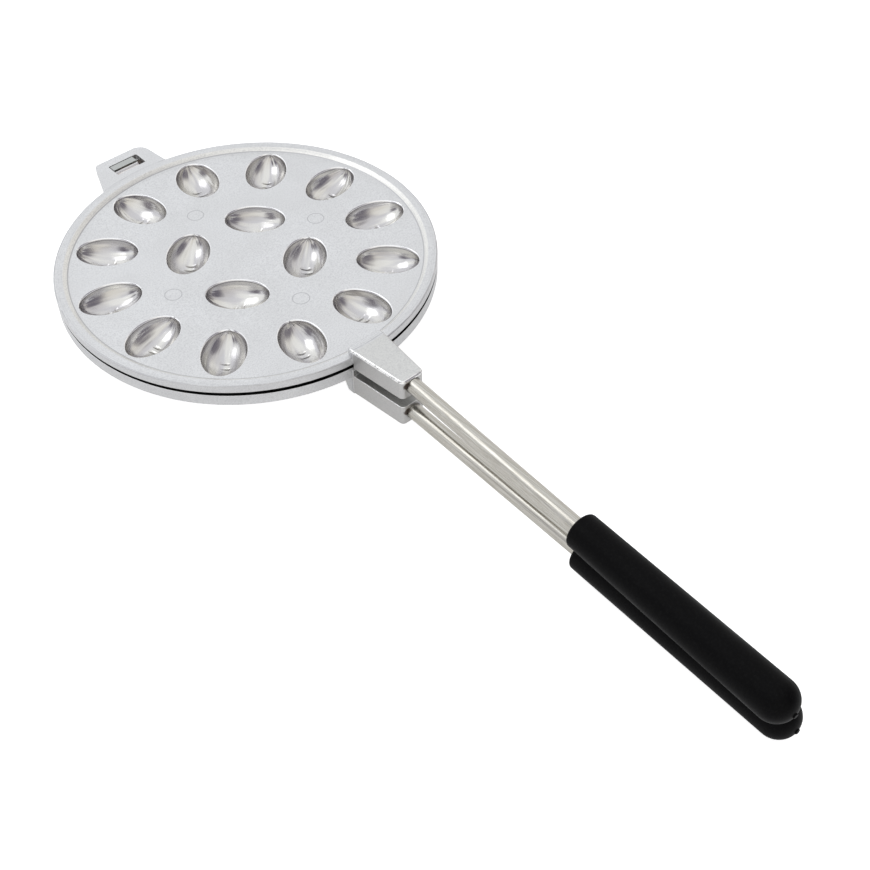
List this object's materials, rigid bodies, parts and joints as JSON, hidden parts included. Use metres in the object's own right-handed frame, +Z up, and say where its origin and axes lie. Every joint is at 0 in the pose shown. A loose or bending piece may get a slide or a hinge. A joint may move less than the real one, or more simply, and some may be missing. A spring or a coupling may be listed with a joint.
{
  "type": "walnut cookie mold",
  "caption": "Round hinged cast mold for walnut-shaped cookies: recessed half-shell cells, tube handles with black grips.",
  "frame": {"origin": "middle of the underside of the whole iron, level with the lowest point of the lower grip", "axes": "+Z up, square to the lower half's parting face; +Y towards the hook and ear; the handles run along -Y"},
  "size_m": [0.19, 0.46, 0.0357],
  "materials": {
    "cast_aluminium": "satin as cast, lightly worn",
    "plated_steel": "drawn and plated, lengthwise streaks",
    "black_plastic": "matt black"
  },
  "bodies": {
    "lower_half": {"lower_mold_casting": "cast_aluminium", "lower_handle_tube": "plated_steel", "lower_grip": "black_plastic", "lower_tube_pin": "plated_steel"},
    "upper_half": {"upper_mold_casting": "cast_aluminium", "upper_handle_tube": "plated_steel", "upper_grip": "black_plastic", "upper_tube_pin": "plated_steel"}
  },
  "joints": [
    {"name": "hinge", "type": "hinge", "parent": "lower_half", "child": "upper_half", "pos_m": [0, 0.22068, 0.0211], "axis": [-1, 0, 0], "range_deg": [0, 100]}
  ]
}
